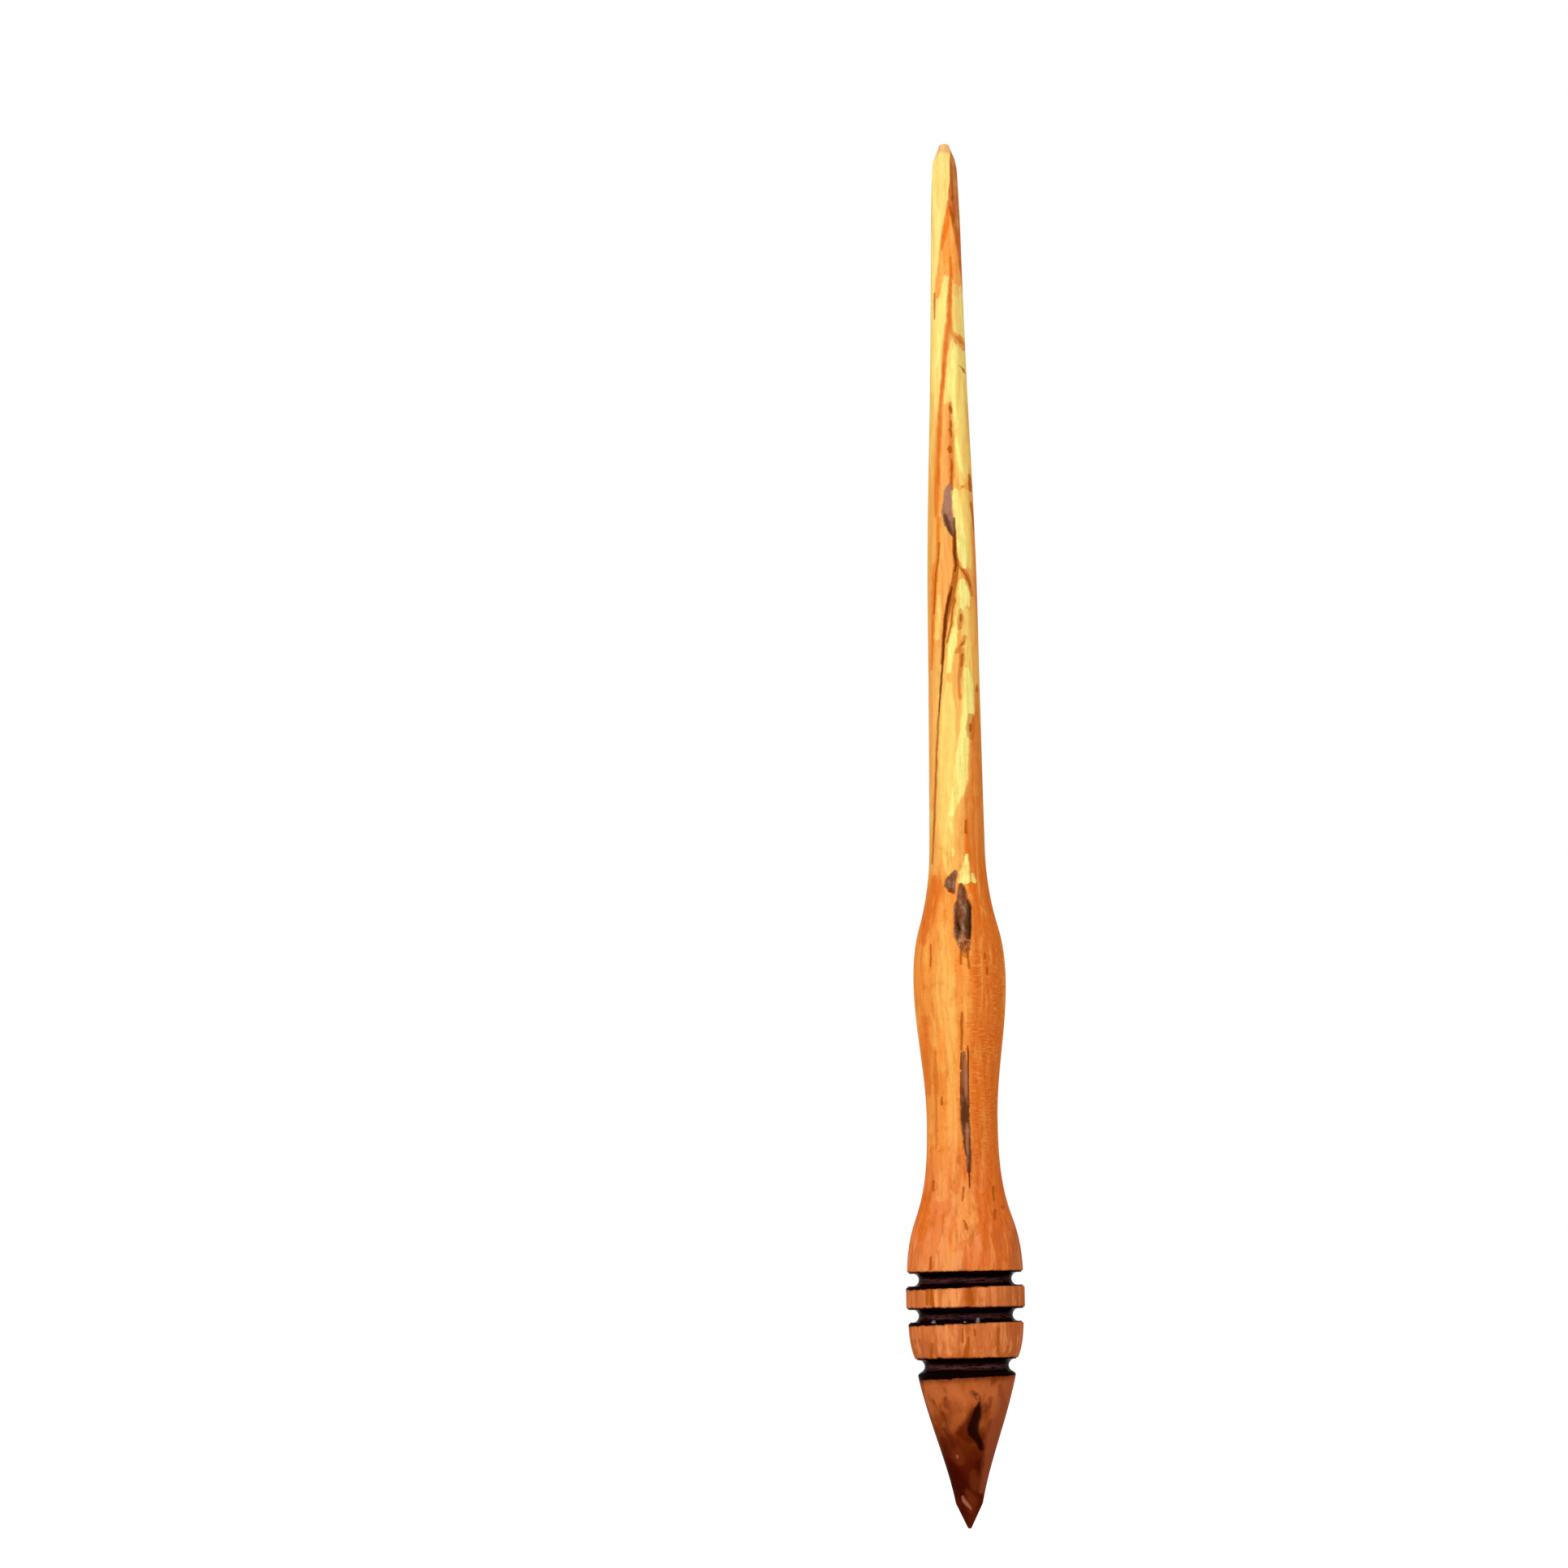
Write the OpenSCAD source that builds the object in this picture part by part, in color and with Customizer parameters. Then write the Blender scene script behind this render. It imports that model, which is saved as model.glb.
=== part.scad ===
// Support spindle, turned from one blank of spalted wood.
// The point at the bottom turns in a small bowl, the fingers flick the top, and the yarn winds on the shaft.
// Three black-lined coves part two rings from the cone and the flare.
// +Z runs up the spindle from the end of its point, which is the origin. The front faces -Y.

/* [Overall] */
// Length from the end of the point to the end of the flick tip
spindle_len = 254; // [240:1:280]

/* [Point] */
// Radius of the rounded end that turns in the bowl
nose_r = 0.45; // [0.3:0.05:0.7]
// Half angle of the sharpened point, in degrees
point_angle = 25.5; // [22:0.5:32]
// Diameter where the sharpened point meets the cone
point_base_d = 5; // [4:0.1:6]

/* [Cone] */
// Length of the cone between the sharpened point and the lowest cove
cone_len = 23.75; // [20:0.25:28]
// Diameter of the cone's top edge
cone_top_d = 18; // [17.4:0.1:19]
// Slope of the cone's side at its lower end, in degrees from the axis
cone_low_slope = 10.5; // [9:0.5:15]
// Slope of the cone's side at its top edge, in degrees from the axis
cone_top_slope = 10.5; // [7:0.5:13]
// Radius that rounds the cone's top edge
lip_r = 0.4; // [0.2:0.05:0.5]

/* [Coves] */
// Width of each cove, cut in the wood
cove_w = 2.7; // [2.3:0.1:3]
// Depth of the lower cove below the cone's top edge
lower_cove_depth = 1.5; // [1.2:0.05:2]
// Depth of the middle cove below the lower ring's top edge
middle_cove_depth = 2.15; // [1.8:0.05:2.6]
// Depth of the upper cove below the flare's bottom edge
upper_cove_depth = 2.3; // [1.8:0.05:2.6]
// Thickness of the black lining
lining_t = 0.2; // [0.1:0.05:0.4]

/* [Rings] */
// Height of the lower ring
lower_ring_h = 6.5; // [5:0.1:9]
// Diameter of the lower ring at its bottom edge
lower_ring_low_d = 18.8; // [18.4:0.1:19.6]
// Diameter of the lower ring at its top edge
lower_ring_top_d = 21.1; // [20.4:0.1:21.4]
// Height of the upper ring
upper_ring_h = 3.9; // [3:0.1:7]
// Diameter of the upper ring, the widest place of the spindle
upper_ring_d = 21.7; // [21.5:0.1:24]
// Radius that eases each edge of the rings and of the flare
arris_r = 0.3; // [0.1:0.05:0.4]

/* [Flare] */
// Diameter of the flare at its bottom edge
flare_d = 21.2; // [20.4:0.1:21.4]
// Height from the bottom edge to the steepest place
flare_turn_h = 9.8; // [8:0.1:13]
// Diameter at the steepest place
flare_turn_d = 17.7; // [16.8:0.1:18.6]
// Slope at the steepest place, in degrees from the axis
flare_turn_slope = 20; // [15:0.2:22]

/* [Waist and belly] */
// Height from the flare's steepest place to the waist
waist_h = 18.2; // [15:0.1:22]
// Diameter of the waist
waist_d = 13; // [12:0.1:14]
// Height from the waist to the belly
belly_h = 25; // [21:0.1:29]
// Diameter of the belly
belly_d = 16.9; // [16:0.1:18]
// Height from the belly to the steepest place of its shoulder
shoulder_h = 10.1; // [9:0.1:12]
// Diameter at the steepest place of the shoulder
shoulder_d = 14.4; // [13.8:0.1:15]
// Slope at the steepest place of the shoulder, in degrees from the axis
shoulder_slope = 16.4; // [14:0.2:19]

/* [Shaft] */
// Height from the shoulder to the neck, where the shaft begins
neck_h = 14.5; // [12:0.1:18]
// Diameter of the shaft at the neck
neck_d = 10.16; // [9.6:0.02:10.8]
// Length of the shaft's nearly straight lower part
shaft_low_len = 45.5; // [40:0.5:50]
// Diameter at the top of the nearly straight part
shaft_mid_d = 9.1; // [8.6:0.1:9.5]
// Length of the part that draws in above it
draw_in_len = 30; // [26:0.5:34]
// Diameter above the part that draws in
shaft_upper_d = 7.44; // [7:0.02:8]
// Slope just above the part that draws in, in degrees from the axis
shaft_upper_slope = 2.06; // [1:0.02:3]

/* [Flick tip] */
// Length of the rounded end of the tip
tip_len = 4.9; // [4.2:0.1:6]
// Diameter of the shaft where the rounded end begins
tip_base_d = 4.9; // [4.6:0.1:5.3]
// Diameter of the small cap at the very end
tip_cap_d = 1.8; // [1.4:0.1:2.2]
// Turn of the four long knife cuts about the axis, in degrees
flat_turn = -24; // [-45:0.5:45]
// Distance from the axis to a long cut, where the rounded end begins
flat_reach = 1.74; // [1.6:0.02:1.9]
// Lean of each long cut, in degrees from the axis
flat_lean = 4; // [3.2:0.1:5]
// Lean of the short end cut on the right
end_lean_right = 32; // [27:0.5:36]
// Lean of the short end cut on the back
end_lean_back = 16; // [13:0.5:18]
// Lean of the short end cut on the left
end_lean_left = 21; // [18:0.5:25]
// Lean of the short end cut on the front
end_lean_front = 24; // [20:0.5:28]

/* [Hidden] */
$fn = 96;

wood_color = "#e0a04e";
lining_color = "#1c0d10";

// Steps of the short arcs, the coves and the long curves
arc_steps = 4;
cove_steps = 14;
curve_step = 2.4;
// Angle by which the rounded lip of the cone runs into its cove
lip_run = 20;
// Slope of the lower ring's side at its bottom and top edges, and of the flare at its bottom edge
ring_low_slope = 22.8;
ring_top_slope = 2.3;
flare_low_slope = -1.2;
// Slope of the shaft at the neck, at the top of its nearly straight part and at the flick tip
neck_slope = -0.86;
shaft_mid_slope = -0.5;
tip_base_slope = -1.35;
// Slope of the tip's rounded end where its cap begins, and the height of that cap
tip_end_slope = -15;
tip_cap_h = 0.3;
// Overshoot of the cutting blocks
cut_over = 4;

// Heights of the stations up the spindle
nose_z = nose_r * (1 - sin(point_angle));
point_z = nose_z + (point_base_d / 2 - nose_r * cos(point_angle)) / tan(point_angle);
lip_z = point_z + cone_len;
lower_ring_z = lip_z + cove_w;
lower_ring_top_z = lower_ring_z + lower_ring_h;
upper_ring_z = lower_ring_top_z + cove_w;
upper_ring_top_z = upper_ring_z + upper_ring_h;
flare_z = upper_ring_top_z + cove_w;
flare_turn_z = flare_z + flare_turn_h;
waist_z = flare_turn_z + waist_h;
belly_z = waist_z + belly_h;
shoulder_z = belly_z + shoulder_h;
neck_z = shoulder_z + neck_h;
shaft_mid_z = neck_z + shaft_low_len;
shaft_upper_z = shaft_mid_z + draw_in_len;
tip_z = spindle_len - tip_len;

// Diameters of the wood at the bottom of the coves, each below the nearer of its two edges
ring_wall = cove_w / 2 + arris_r + lining_t;
lower_core_d = min(cone_top_d - 2 * lower_cove_depth, lower_ring_low_d - 2 * ring_wall);
middle_core_d = min(lower_ring_top_d, upper_ring_d) - 2 * middle_cove_depth;
upper_core_d = min(upper_ring_d, flare_d) - 2 * upper_cove_depth;

// A station is its height, its radius and the slope of the side there, in degrees from the axis
cone_stations = [
  [point_z, point_base_d / 2, cone_low_slope],
  [lip_z, cone_top_d / 2, cone_top_slope],
];
lower_ring_stations = [
  [lower_ring_z, lower_ring_low_d / 2, ring_low_slope],
  [lower_ring_top_z, lower_ring_top_d / 2, ring_top_slope],
];
body_stations = [
  [flare_z, flare_d / 2, flare_low_slope],
  [flare_turn_z, flare_turn_d / 2, -flare_turn_slope],
  [waist_z, waist_d / 2, 0],
  [belly_z, belly_d / 2, 0],
  [shoulder_z, shoulder_d / 2, -shoulder_slope],
  [neck_z, neck_d / 2, neck_slope],
  [shaft_mid_z, shaft_mid_d / 2, shaft_mid_slope],
  [shaft_upper_z, shaft_upper_d / 2, -shaft_upper_slope],
  [tip_z, tip_base_d / 2, tip_base_slope],
];
tip_stations = [
  [tip_z, tip_base_d / 2, tip_base_slope],
  [spindle_len - tip_cap_h, tip_cap_d / 2, tip_end_slope],
];

// Radius at height z on the smooth curve between stations a and b
function curve_radius(a, b, z) =
  let (span = b[0] - a[0], t = (z - a[0]) / span)
    a[1] * (2 * t ^ 3 - 3 * t ^ 2 + 1) + tan(a[2]) * span * (t ^ 3 - 2 * t ^ 2 + t)
    + b[1] * (3 * t ^ 2 - 2 * t ^ 3) + tan(b[2]) * span * (t ^ 3 - t ^ 2);

// Points [radius, height] up a row of stations, about curve_step apart
function side(stations, step = curve_step) =
  concat(
    [for (i = [1:len(stations) - 1])
      let (a = stations[i - 1], b = stations[i], n = max(3, ceil((b[0] - a[0]) / step)))
        for (k = [0:n - 1])
          let (z = a[0] + (b[0] - a[0]) * k / n)
            [curve_radius(a, b, z), z]],
    [[stations[len(stations) - 1][1], stations[len(stations) - 1][0]]]
  );

function unit(v) = v / norm(v);
function first(list) = list[0];
function last(list) = list[len(list) - 1];
function without_ends(list) = [for (i = [1:1:len(list) - 2]) list[i]];

// Half the angle of the corner b between its neighbours a and c
function half_corner(a, b, c) = acos(unit(a - b) * unit(c - b)) / 2;

// The corner b, rounded by an arc of radius r that meets both of its sides
function eased(a, b, c, r) =
  let (
    half = half_corner(a, b, c),
    centre = b + unit(unit(a - b) + unit(c - b)) * r / sin(half),
    from = b + unit(a - b) * r / tan(half) - centre,
    to = b + unit(c - b) * r / tan(half) - centre,
    turn = 180 - 2 * half
  )
    [for (i = [0:arc_steps])
      let (t = i / arc_steps)
        centre + (from * sin((1 - t) * turn) + to * sin(t * turn)) / sin(turn)];

// The wall of a cove leaves a corner p of the wood straight towards the axis
function inward(p) = p - [1, 0];

// Arc of a cove whose cut starts at height z, from its lower wall round to its upper wall
function cove_arc(z, core_d, inset = 0, start = 0) =
  let (half_w = cove_w / 2, n = cove_steps)
    [for (i = [0:n])
      let (angle = 270 - start - (180 - start) * i / n)
        [core_d / 2 + half_w + (half_w - inset) * cos(angle), z + half_w + (half_w - inset) * sin(angle)]];

nose_points = [
  for (i = [0:arc_steps * 2])
    let (angle = -90 + (90 - point_angle) * i / (arc_steps * 2))
      [nose_r * cos(angle), nose_r + nose_r * sin(angle)]
];
cone_points = side(cone_stations);
lower_ring_points = side(lower_ring_stations, 1);
upper_ring_points = [[upper_ring_d / 2, upper_ring_z], [upper_ring_d / 2, upper_ring_top_z]];
body_points = side(body_stations);
tip_points = side(tip_stations, 0.6);
lower_cove_points = cove_arc(lip_z, lower_core_d, 0, lip_run);
middle_cove_points = cove_arc(lower_ring_top_z, middle_core_d);
upper_cove_points = cove_arc(upper_ring_top_z, upper_core_d);
lip_points = eased(cone_points[len(cone_points) - 2], last(cone_points), first(lower_cove_points), lip_r);

// A ring's side with both of its edges eased
function ring_side(p) =
  concat(
    eased(inward(first(p)), first(p), p[1], arris_r),
    without_ends(p),
    eased(p[len(p) - 2], last(p), inward(last(p)), arris_r)
  );

// The small round cap that ends the tip
tip_ball_r = (tip_cap_d ^ 2 / 4 + tip_cap_h ^ 2) / (2 * tip_cap_h);
tip_cap_points = [
  for (i = [1:arc_steps])
    let (angle = asin(tip_cap_d / 2 / tip_ball_r) * (1 - i / arc_steps))
      [tip_ball_r * sin(angle), spindle_len - tip_ball_r + tip_ball_r * cos(angle)]
];

wood_outline = concat(
  nose_points,
  [for (i = [0:len(cone_points) - 2]) cone_points[i]],
  lip_points,
  lower_cove_points,
  ring_side(lower_ring_points),
  middle_cove_points,
  ring_side(upper_ring_points),
  upper_cove_points,
  eased(inward(first(body_points)), first(body_points), body_points[1], arris_r),
  without_ends(body_points),
  tip_points,
  tip_cap_points
);

// A block whose flat side stands at distance reach from the axis at height z and leans in towards the tip
module knife_cut(turn, reach, z, lean) {
  size = tip_base_d * 2 + cut_over;
  rotate([0, 0, turn])
    translate([reach, 0, z])
      rotate([0, -lean, 0])
        translate([0, -size / 2, -size * 4])
          cube([size, size, size * 8]);
}

// The knife cuts that square the flick tip: four long ones up the shaft and four short ones at the end
module tip_cuts() {
  end_leans = [end_lean_right, end_lean_back, end_lean_left, end_lean_front];
  for (i = [0:3]) {
    knife_cut(flat_turn + 90 * i, flat_reach, tip_z, flat_lean);
    knife_cut(flat_turn + 90 * i, tip_cap_d / 2 * cos(45), spindle_len, end_leans[i]);
  }
}

module spindle_body() {
  color(wood_color)
    difference() {
      rotate_extrude()
        polygon(wood_outline);
      tip_cuts();
    }
}

// The black lining of one cove, which follows the wood and ends where the edges of the wood are eased
module cove_lining(wood_arc, lining_arc, low_end, high_end) {
  color(lining_color)
    rotate_extrude()
      polygon(concat(
        [low_end],
        wood_arc,
        [high_end, high_end - [0, lining_t]],
        [for (i = [len(lining_arc) - 1:-1:0]) lining_arc[i]]
      ));
}

module lower_cove_lining() {
  cove_lining(
    lower_cove_points,
    cove_arc(lip_z, lower_core_d, lining_t, lip_run),
    last(lip_points),
    first(ring_side(lower_ring_points))
  );
}

module middle_cove_lining() {
  low_end = last(ring_side(lower_ring_points));
  cove_lining(
    middle_cove_points,
    concat([low_end + [0, lining_t]], cove_arc(lower_ring_top_z, middle_core_d, lining_t)),
    low_end,
    first(ring_side(upper_ring_points))
  );
}

module upper_cove_lining() {
  low_end = last(ring_side(upper_ring_points));
  cove_lining(
    upper_cove_points,
    concat([low_end + [0, lining_t]], cove_arc(upper_ring_top_z, upper_core_d, lining_t)),
    low_end,
    first(eased(inward(first(body_points)), first(body_points), body_points[1], arris_r))
  );
}

spindle_body();
lower_cove_lining();
middle_cove_lining();
upper_cove_lining();
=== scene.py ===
import math

import bmesh
import bpy
from mathutils import Matrix, Quaternion, Vector, noise


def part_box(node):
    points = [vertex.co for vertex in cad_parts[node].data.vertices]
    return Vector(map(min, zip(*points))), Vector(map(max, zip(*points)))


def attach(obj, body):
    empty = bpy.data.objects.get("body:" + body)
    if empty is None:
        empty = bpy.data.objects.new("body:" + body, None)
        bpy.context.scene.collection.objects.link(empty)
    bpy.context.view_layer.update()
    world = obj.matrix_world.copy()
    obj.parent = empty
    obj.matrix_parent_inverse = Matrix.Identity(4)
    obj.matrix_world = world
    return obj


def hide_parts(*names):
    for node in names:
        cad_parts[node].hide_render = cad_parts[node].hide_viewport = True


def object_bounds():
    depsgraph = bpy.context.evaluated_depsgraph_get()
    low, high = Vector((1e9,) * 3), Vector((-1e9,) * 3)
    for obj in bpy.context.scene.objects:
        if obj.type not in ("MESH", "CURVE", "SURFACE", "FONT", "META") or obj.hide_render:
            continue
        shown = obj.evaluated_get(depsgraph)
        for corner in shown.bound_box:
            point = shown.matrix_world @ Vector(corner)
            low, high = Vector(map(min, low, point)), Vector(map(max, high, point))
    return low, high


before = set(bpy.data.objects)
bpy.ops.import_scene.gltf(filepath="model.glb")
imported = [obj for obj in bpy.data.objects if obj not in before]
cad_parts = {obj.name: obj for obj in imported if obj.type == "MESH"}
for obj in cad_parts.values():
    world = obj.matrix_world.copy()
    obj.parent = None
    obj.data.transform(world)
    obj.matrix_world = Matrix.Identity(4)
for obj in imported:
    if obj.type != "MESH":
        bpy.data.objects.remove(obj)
cadLow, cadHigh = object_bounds()
metre = 1000  # millimetres, in which every size below is given
print("frame loaded")

# how the spindle lies in the photograph, in its pixels
photo = {
    "pointX": 1193.8,  # the point that it stands on
    "pointY": 1883,
    "perMm": 6.717,
    "lean": math.radians(1.03),  # of the axis, its top to the left
}


# a place in the photograph as x and z on the spindle
def place(px, py):
    across, up = px - photo["pointX"], photo["pointY"] - py
    lean, scale = photo["lean"], photo["perMm"]
    x = across * math.cos(lean) + up * math.sin(lean)
    z = up * math.cos(lean) - across * math.sin(lean)
    return x / scale, z / scale


# the figure on the front of the wood, with some painted light and shade among its layers: each stroke's
# points are places in the photograph with its width there, and each layer says how far it covers, how soft
# its edges are and how ragged
figure = {
    "ochre": {"cover": 0.85, "soft": 0.8, "ragged": 0.8, "strokes": [
        [(1204, 846, 4), (1203, 870, 8), (1202, 893, 13), (1203, 920, 17), (1203, 960, 21), (1199, 985, 26),
         (1199, 1020, 30), (1201, 1060, 27), (1206, 1095, 27), (1212, 1130, 32)],
        [(1212, 1120, 30), (1215, 1180, 38), (1216, 1240, 42), (1213, 1300, 42), (1212, 1380, 34),
         (1214, 1450, 34), (1222, 1500, 42), (1227, 1540, 42), (1228, 1562, 38)],
        [(1214, 860, 8), (1214, 900, 14), (1215, 960, 18), (1216, 1040, 18), (1222, 1100, 20)],
        [(1200, 590, 3), (1201, 640, 6), (1203, 690, 8), (1204, 740, 8), (1204, 780, 3)],
        [(1150, 1082, 8), (1152, 1098, 18), (1143, 1130, 18), (1137, 1165, 8)],
        [(1139, 1255, 8), (1141, 1300, 10), (1143, 1350, 5)],
    ]},
    # sienna: painted shade down the right side of the flare and the rings, and along the lower ring's left
    # side
    "sienna": {"cover": 0.8, "soft": 0.9, "ragged": 1, "strokes": [
        [(1250, 1500, 10), (1252, 1540, 18), (1252, 1566, 24), (1250, 1600, 30), (1250, 1650, 30),
         (1242, 1676, 26)],
        [(1192, 1590, 8), (1193, 1604, 14)],
        [(1130, 1655, 30), (1140, 1672, 34)],
    ]},
    "tan": {"cover": 0.7, "soft": 0.4, "ragged": 0.8, "strokes": [
        [(1165, 500, 6), (1165, 560, 12), (1164, 600, 13), (1160, 640, 5)],
        [(1177, 350, 8), (1178, 366, 10)],
        [(1192, 500, 4), (1191, 560, 11), (1194, 620, 8)],
        [(1198, 745, 6), (1200, 800, 12), (1203, 850, 7)],
        [(1180, 790, 6), (1178, 840, 12), (1180, 880, 8), (1178, 930, 6)],
    ]},
    "salmon": {"cover": 0.75, "soft": 0.35, "ragged": 0.8, "strokes": [
        [(1168, 655, 6), (1167, 690, 12), (1165, 720, 14), (1160, 760, 9), (1157, 800, 6)],
        [(1147, 700, 4), (1147, 800, 5), (1148, 900, 6), (1149, 1000, 6)],
        [(1163, 600, 5), (1161, 625, 5)],
        [(1161, 1445, 10), (1158, 1480, 16)],
        [(1178, 1436, 8), (1179, 1462, 22), (1186, 1484, 30), (1190, 1505, 28), (1186, 1526, 14)],
        [(1178, 1516, 8), (1177, 1540, 16), (1174, 1564, 22)],
        [(1167, 500, 6), (1168, 540, 14), (1168, 580, 17), (1167, 604, 14)],
        [(1162, 1528, 8), (1161, 1548, 18), (1161, 1566, 22)],
        [(1166, 1584, 22), (1165, 1596, 34), (1164, 1610, 30)],
    ]},
    "apricot": {"cover": 0.9, "soft": 0.22, "ragged": 0.5, "strokes": [
        [(1168, 250, 4), (1169, 262, 8), (1169, 275, 12), (1171, 290, 19), (1170.5, 305, 27),
         (1170.5, 320, 29), (1170, 334, 31), (1160, 343, 14), (1156, 352, 8), (1154.5, 368, 4)],
        [(1178, 330, 14), (1179, 342, 14), (1180, 352, 9)],
    ]},
    # russet: the darker orange down the tip's right facet, partly a painted shade of that facet
    "russet": {"cover": 0.92, "soft": 0.14, "ragged": 0.3, "strokes": [
        [(1174, 186, 4), (1177, 191, 13), (1177.5, 200, 15), (1177.5, 225, 15), (1177, 240, 18),
         (1177, 256, 19), (1179, 268, 16), (1181, 285, 14), (1183, 300, 11), (1185.5, 325, 9),
         (1187, 345, 6), (1188, 362, 4)],
    ]},
    "tangerine": {"cover": 0.85, "soft": 0.25, "ragged": 0.5, "strokes": [
        [(1168, 258, 2), (1166, 270, 6), (1164, 285, 9), (1162, 298, 7), (1159.5, 312, 2)],
        [(1171, 318, 3), (1171.5, 340, 5), (1169.5, 362, 7), (1169.5, 392, 8), (1169, 408, 11),
         (1165.5, 426, 9), (1163.5, 445, 6.5), (1161.5, 470, 6), (1159, 498, 6), (1157, 530, 7),
         (1155, 570, 8), (1154, 610, 7), (1153, 640, 4)],
        [(1174, 410, 4), (1178, 416, 14), (1183, 424, 14), (1187, 432, 6)],
        [(1156, 640, 5), (1155, 670, 4), (1153.5, 695, 4.5), (1152, 705, 7), (1150.5, 738, 6),
         (1149, 785, 4.5), (1147, 830, 3)],
        [(1190, 1012, 3), (1190, 1040, 7), (1192, 1056, 5)],
        [(1196, 1090, 3), (1197, 1098, 8), (1199, 1106, 4)],
        [(1141, 1470, 6), (1137, 1500, 18), (1131, 1530, 10)],
        [(1186, 600, 5), (1187, 612, 4)],
    ]},
    "butter": {"cover": 0.85, "soft": 0.35, "ragged": 0.9, "strokes": [
        [(1178, 368, 5), (1178, 380, 9), (1178, 402, 10), (1179, 412, 6)],
        [(1178, 428, 6), (1178, 440, 17), (1178, 480, 20), (1181, 500, 17), (1184, 540, 16),
         (1186, 570, 17), (1186, 598, 8)],
        [(1154, 396, 8), (1152, 440, 8), (1151, 500, 6)],
        [(1188, 606, 8), (1189, 640, 12), (1191, 680, 10), (1194, 702, 4)],
        [(1189, 755, 10), (1190, 800, 11), (1192, 840, 12)],
        [(1168, 845, 6), (1168, 880, 18), (1167, 930, 20), (1166, 980, 18), (1166, 1020, 18),
         (1166, 1060, 13), (1168, 1080, 5)],
        [(1156, 738, 3), (1156, 760, 6), (1154, 790, 6)],
    ]},
    # glow: a paler band down the belly; on the flare and the rings its strokes left of the middle are
    # painted highlight
    "glow": {"cover": 0.6, "soft": 0.6, "ragged": 1, "strokes": [
        [(1163, 1140, 8), (1160, 1185, 22), (1162, 1220, 30), (1164, 1250, 22), (1171, 1300, 12),
         (1172, 1400, 13), (1174, 1450, 9), (1174, 1491, 8), (1167, 1503, 7), (1161, 1520, 8),
         (1158, 1545, 10), (1160, 1564, 16)],
        [(1148, 1205, 4), (1150, 1240, 8), (1150, 1290, 4)],
        [(1150, 1340, 3), (1149, 1370, 7), (1150, 1410, 4)],
        [(1184, 1535, 4), (1178, 1552, 14), (1176, 1564, 18)],
        [(1168, 1586, 12), (1167, 1600, 24), (1166, 1610, 20)],
        [(1211, 1584, 6), (1211, 1608, 6)],
        [(1164, 1636, 8), (1166, 1650, 16), (1170, 1668, 10)],
        [(1194, 1642, 5), (1195, 1650, 5)],
        [(1193.7, 1530, 3), (1193.7, 1541, 4)],
        [(1207, 1430, 3), (1208, 1470, 4)],
    ]},
    "flame": {"cover": 0.95, "soft": 0.22, "ragged": 0.9, "strokes": [
        [(1164, 341, 3), (1164, 352, 6), (1163, 365, 7), (1160, 380, 9), (1159, 398, 8), (1157, 425, 5),
         (1154, 455, 3)],
        [(1176, 431, 6), (1177, 442, 11), (1174, 460, 9), (1172, 480, 9), (1175, 500, 5), (1178, 520, 5),
         (1178, 530, 3)],
        [(1178, 543, 4), (1180, 560, 5), (1184, 580, 5), (1188, 592, 3)],
        [(1177, 606, 6), (1178, 620, 10), (1180, 640, 10), (1183, 665, 11), (1185, 690, 11),
         (1188, 702, 4)],
        [(1185, 717, 9), (1186, 732, 14), (1184, 748, 14), (1181, 760, 7), (1177, 775, 6), (1173, 795, 9),
         (1170, 815, 8), (1168, 832, 4)],
        [(1192, 732, 5), (1193, 750, 4)],
        [(1190, 826, 5), (1192, 845, 12), (1192, 880, 15), (1188, 900, 12), (1186, 925, 14),
         (1183, 945, 17), (1182, 970, 18), (1178, 985, 14), (1174, 998, 8), (1171, 1009, 5)],
        [(1171, 1016, 3), (1171, 1028, 3)],
        [(1173, 1051, 3), (1173, 1059, 3)],
        [(1190, 1056, 2), (1189, 1068, 8), (1187, 1080, 13), (1187, 1091, 15)],
        [(1197, 1080, 3), (1199, 1090, 6)],
    ]},
    "rust": {"cover": 0.6, "soft": 0.24, "ragged": 0.7, "strokes": [
        [(1172, 340, 2), (1170, 370, 3.5), (1169, 398, 3), (1166, 419, 3.5), (1164, 437, 3),
         (1162, 465, 2.5), (1159, 491, 2.5), (1157.5, 518, 2.5), (1156, 560, 2.5), (1155, 600, 2)],
        [(1172, 205, 2), (1172.5, 230, 4), (1173.5, 250, 5), (1176, 275, 4), (1179, 300, 3)],
        [(1170.5, 500, 3), (1171, 530, 5), (1171, 560, 6), (1172, 590, 6), (1171, 606, 5)],
        [(1178, 416, 3), (1184, 424, 5)],
        [(1179, 701, 5), (1185, 703, 9), (1190, 711, 8), (1194, 724, 6), (1197, 738, 4)],
        [(1183, 755, 5), (1183, 766, 8), (1182, 779, 5)],
        [(1188, 788, 5), (1186, 797, 7), (1181, 803, 7), (1177, 808, 4)],
        [(1184, 803, 6), (1185, 815, 8), (1183, 828, 7), (1180, 845, 4), (1182, 866, 3)],
        [(1196, 884, 8), (1195, 900, 12), (1196, 912, 8)],
        [(1151, 1298, 2), (1151, 1318, 5), (1152, 1345, 4.5), (1152.5, 1380, 4), (1152.5, 1415, 2.5)],
        [(1189, 1164, 10), (1189, 1174, 11), (1188.5, 1184, 7)],
    ]},
    "brown": {"cover": 0.85, "soft": 0.16, "ragged": 0.5, "strokes": [
        [(1169.5, 503, 2), (1170.5, 508, 5), (1171.5, 514, 2)],
        [(1171.5, 521, 1.6), (1170.5, 532, 3.5), (1172, 541, 1.6)],
        [(1170, 551, 2), (1169.5, 556.5, 7), (1171, 562, 2)],
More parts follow.
